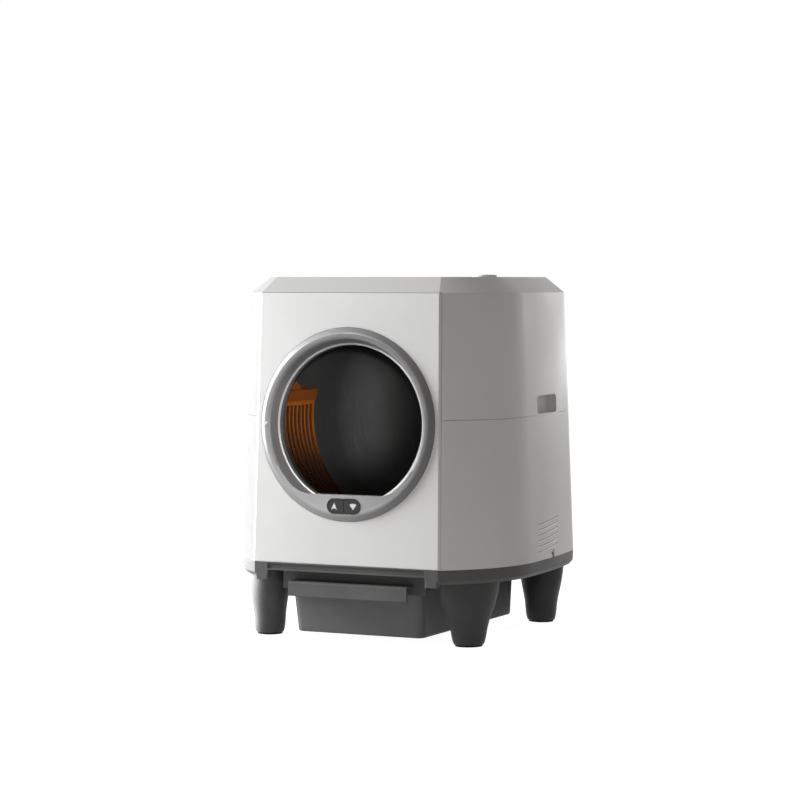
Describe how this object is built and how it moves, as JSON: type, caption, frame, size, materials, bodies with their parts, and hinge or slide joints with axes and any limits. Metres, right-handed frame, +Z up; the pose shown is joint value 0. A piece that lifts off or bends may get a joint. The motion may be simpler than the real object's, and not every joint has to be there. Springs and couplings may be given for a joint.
{
  "type": "self-cleaning litter box",
  "caption": "Self-cleaning litter box: drafted housing on tapered legs with a round entry ring, turning drum with sifting screen, lift-off cover and pull-out waste drawer.",
  "frame": {"origin": "centre of the plan at floor level", "axes": "+Z up, the front with the entry ring faces -Y, +X to the right as seen from the front"},
  "size_m": [0.512, 0.5207, 0.604],
  "materials": {
    "white_plastic": "fine satin texture",
    "dark_plastic": "fine texture",
    "grey_plastic": "satin",
    "drum_plastic": "satin",
    "orange_plastic": "satin",
    "black_gloss": "gloss",
    "white_ink": "printed",
    "circuit_board": "solder mask",
    "rubber": "matte",
    "steel": "bright",
    "motor_steel": "plated",
    "alloy": "machined",
    "bush_bronze": "sintered",
    "gear_plastic": "natural acetal",
    "felt": "felt",
    "gel": "gel"
  },
  "bodies": {
    "housing": {"base_frame": "dark_plastic", "leg_front_left": "dark_plastic", "leg_front_right": "dark_plastic", "leg_rear_left": "dark_plastic", "leg_rear_right": "dark_plastic", "foot_pads": "rubber", "load_cells": "alloy", "drawer_rail_left": "dark_plastic", "drawer_rail_right": "dark_plastic", "waste_chute": "dark_plastic", "deck_screws": "steel", "lower_shell": "white_plastic", "front_panel": "white_plastic", "entry_ring": "grey_plastic", "entry_seal": "felt", "index_mark": "white_ink", "control_bezel": "black_gloss", "key_board": "circuit_board", "gear_motor": "motor_steel", "motor_bracket": "steel", "motor_screws": "steel", "rear_pedestal": "dark_plastic", "axle_bush": "bush_bronze", "hall_sensor": "black_gloss", "roller_brackets": "dark_plastic", "roller_pins": "steel", "control_board": "circuit_board", "board_standoffs": "gear_plastic", "power_socket": "black_gloss"},
    "cover": {"upper_cover": "white_plastic", "grip_cup_left": "white_plastic", "grip_cup_right": "white_plastic", "cartridge_cup": "white_plastic", "odour_cartridge": "gel"},
    "cap": {"cartridge_cap": "white_plastic"},
    "drum": {"drum_front": "drum_plastic", "drum_rear": "drum_plastic", "drum_gear": "gear_plastic", "drum_axle": "steel", "drum_magnet": "steel", "sifter_screen": "orange_plastic", "sifter_bracket": "orange_plastic", "drum_screws": "steel", "axle_screws": "steel"},
    "pinion": {"drive_pinion": "gear_plastic", "motor_shaft": "steel"},
    "left_wheel": {"roller_left": "rubber"},
    "right_wheel": {"roller_right": "rubber"},
    "drawer": {"drawer_bin": "dark_plastic", "drawer_handle": "dark_plastic", "bag_frame": "dark_plastic"},
    "left_key": {"key_left": "black_gloss"},
    "right_key": {"key_right": "black_gloss"}
  },
  "joints": [
    {"name": "drum_spin", "type": "hinge", "parent": "housing", "child": "drum", "pos_m": [0, 0, 0.36], "axis": [0, 1, 0], "continuous": true},
    {"name": "pinion_spin", "type": "hinge", "parent": "housing", "child": "pinion", "pos_m": [0.1719, 0.032, 0.1881], "axis": [0, 1, 0], "continuous": true},
    {"name": "left_wheel_spin", "type": "hinge", "parent": "housing", "child": "left_wheel", "pos_m": [-0.14289, -0.14616, 0.18971], "axis": [0, 1, 0], "continuous": true},
    {"name": "right_wheel_spin", "type": "hinge", "parent": "housing", "child": "right_wheel", "pos_m": [0.14289, -0.14616, 0.18971], "axis": [0, 1, 0], "continuous": true},
    {"name": "drawer_slide", "type": "slide", "parent": "housing", "child": "drawer", "axis": [0, -1, 0], "range_m": [0, 0.34]},
    {"name": "cover_lift", "type": "slide", "parent": "housing", "child": "cover", "axis": [0, 0.0384, 0.9993], "range_m": [0, 0.26]},
    {"name": "cap_twist", "type": "hinge", "parent": "cover", "child": "cap", "pos_m": [0.114, 0.045, 0.6], "axis": [0, 0, 1], "range_deg": [0, 60]},
    {"name": "left_key_press", "type": "slide", "parent": "housing", "child": "left_key", "axis": [0, 0.9993, -0.0384], "range_m": [0, 0.001], "stiffness_N_per_m": 1200},
    {"name": "right_key_press", "type": "slide", "parent": "housing", "child": "right_key", "axis": [0, 0.9993, -0.0384], "range_m": [0, 0.001], "stiffness_N_per_m": 1200}
  ],
  "couplings": [
    {"joint": "pinion_spin", "follows": "drum_spin", "ratio": -8},
    {"joint": "left_wheel_spin", "follows": "drum_spin", "ratio": -12.875},
    {"joint": "right_wheel_spin", "follows": "drum_spin", "ratio": -12.875}
  ]
}
